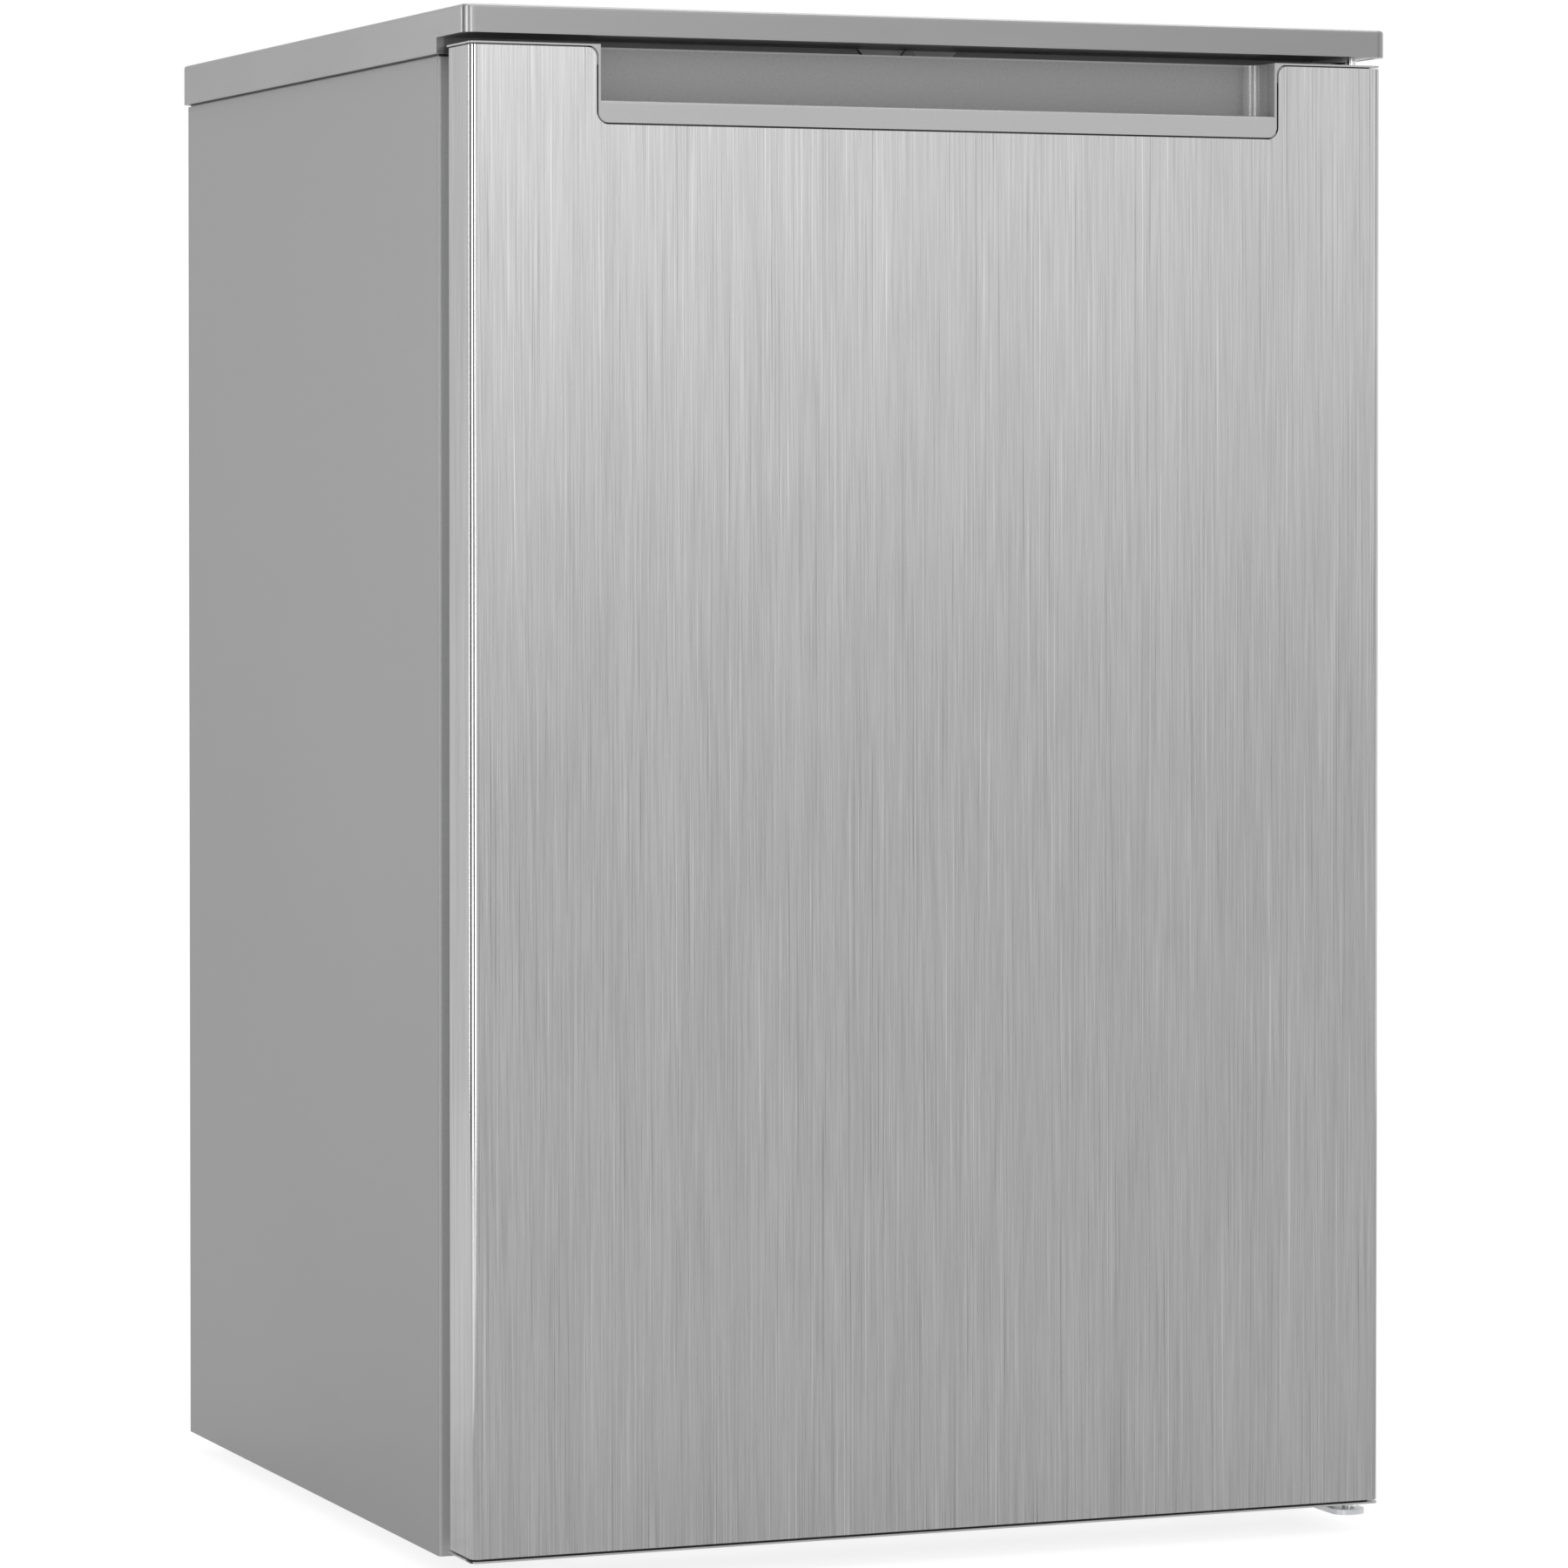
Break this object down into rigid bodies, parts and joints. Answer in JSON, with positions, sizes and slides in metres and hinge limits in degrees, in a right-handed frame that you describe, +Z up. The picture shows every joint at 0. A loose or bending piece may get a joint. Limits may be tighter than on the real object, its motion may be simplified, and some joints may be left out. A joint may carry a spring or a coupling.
{
  "type": "undercounter refrigerator",
  "caption": "Box-shaped undercounter refrigerator with a flat worktop, a brushed steel door hinged on the right and a recessed hand grip along the door's top edge.",
  "frame": {"origin": "on the floor under the middle of the bounding box", "axes": "+X to the right seen from the front, +Y to the back, +Z up; the door faces -Y"},
  "size_m": [0.55, 0.54, 0.85],
  "materials": {
    "silver_paint": "satin",
    "galvanised": "satin",
    "foam": "matte",
    "white_liner": "gloss",
    "silver_plastic": "satin",
    "board": "satin",
    "zinc": "satin",
    "polished_pin": "polished",
    "black_plastic": "matte",
    "white_plastic": "gloss",
    "grey_plastic": "satin",
    "lens": "satin",
    "bulb": "gloss",
    "shelf_glass": "polished",
    "clear_plastic": "gloss",
    "cold_aluminium": "satin",
    "black_steel": "satin",
    "copper": "satin",
    "rubber": "matte",
    "seal": "matte",
    "brushed_door": "satin"
  },
  "bodies": {
    "cabinet": {"back_panel": "galvanised", "base_plate": "galvanised", "bottom_hinge_bracket": "zinc", "bottom_hinge_pin": "polished_pin", "bottom_sheet": "galvanised", "cabinet_foam": "foam", "cabinet_top_sheet": "galvanised", "compressor_bolts": "zinc", "compressor_grommets": "rubber", "compressor_shell": "black_steel", "compressor_terminal_box": "black_plastic", "condenser_brackets": "black_plastic", "condenser_tube": "black_steel", "condenser_wires": "black_steel", "cord_gland": "rubber", "crisper_cover_glass": "shelf_glass", "door_switch_body": "white_plastic", "drain_tube": "grey_plastic", "evaporation_tray": "black_plastic", "evaporator_plate": "cold_aluminium", "filter_drier": "copper", "foot_inserts": "zinc", "front_cross_rail": "silver_paint", "glass_shelf_1": "shelf_glass", "glass_shelf_2": "shelf_glass", "glass_shelf_3": "shelf_glass", "inner_liner": "white_liner", "lamp_bulb": "bulb", "lamp_lens": "lens", "lamp_socket": "white_plastic", "niche_plate": "galvanised", "rear_feet": "black_plastic", "refrigerant_lines": "copper", "screws": "zinc", "shelf_trims": "white_plastic", "side_panel_left": "silver_paint", "side_panel_right": "silver_paint", "thermostat_housing": "white_plastic", "top_cross_rail": "silver_paint", "top_hinge_bracket": "zinc", "top_hinge_pin": "polished_pin", "worktop_board": "board", "worktop_clip": "silver_plastic", "worktop_frame": "silver_plastic"},
    "door": {"door_skin": "brushed_door", "door_top_cap": "silver_plastic", "door_bottom_cap": "silver_plastic", "door_foam": "foam", "door_liner": "white_liner", "door_gasket": "seal", "door_bushes": "white_plastic", "door_bin_low": "clear_plastic", "door_bin_high": "clear_plastic", "bottle_bin": "clear_plastic"},
    "crisper": {"crisper_drawer": "clear_plastic"},
    "left_foot": {"foot_left": "black_plastic"},
    "right_foot": {"foot_right": "black_plastic"},
    "knob": {"thermostat_knob": "grey_plastic"},
    "plunger": {"switch_plunger": "white_plastic"}
  },
  "joints": [
    {"name": "door_hinge", "type": "hinge", "parent": "cabinet", "child": "door", "pos_m": [0.263, -0.25, 0], "axis": [0, 0, 1], "range_deg": [0, 120]},
    {"name": "crisper_slide", "type": "slide", "parent": "cabinet", "child": "crisper", "axis": [0, -1, 0], "range_m": [0, 0.17]},
    {"name": "plunger_slide", "type": "slide", "parent": "cabinet", "child": "plunger", "axis": [0, -1, 0], "range_m": [0, 0.005]},
    {"name": "knob_turn", "type": "hinge", "parent": "cabinet", "child": "knob", "pos_m": [0.055, -0.07, 0.767], "axis": [0, -1, 0], "range_deg": [0, 270]},
    {"name": "left_foot_level", "type": "slide", "parent": "cabinet", "child": "left_foot", "axis": [0, 0, -1], "range_m": [0, 0.012]},
    {"name": "right_foot_level", "type": "slide", "parent": "cabinet", "child": "right_foot", "axis": [0, 0, -1], "range_m": [0, 0.012]}
  ],
  "couplings": [
    {"joint": "crisper_slide", "follows": "door_hinge", "m_per_rad": 0.081},
    {"joint": "plunger_slide", "follows": "door_hinge", "m_per_rad": 0.0023}
  ]
}
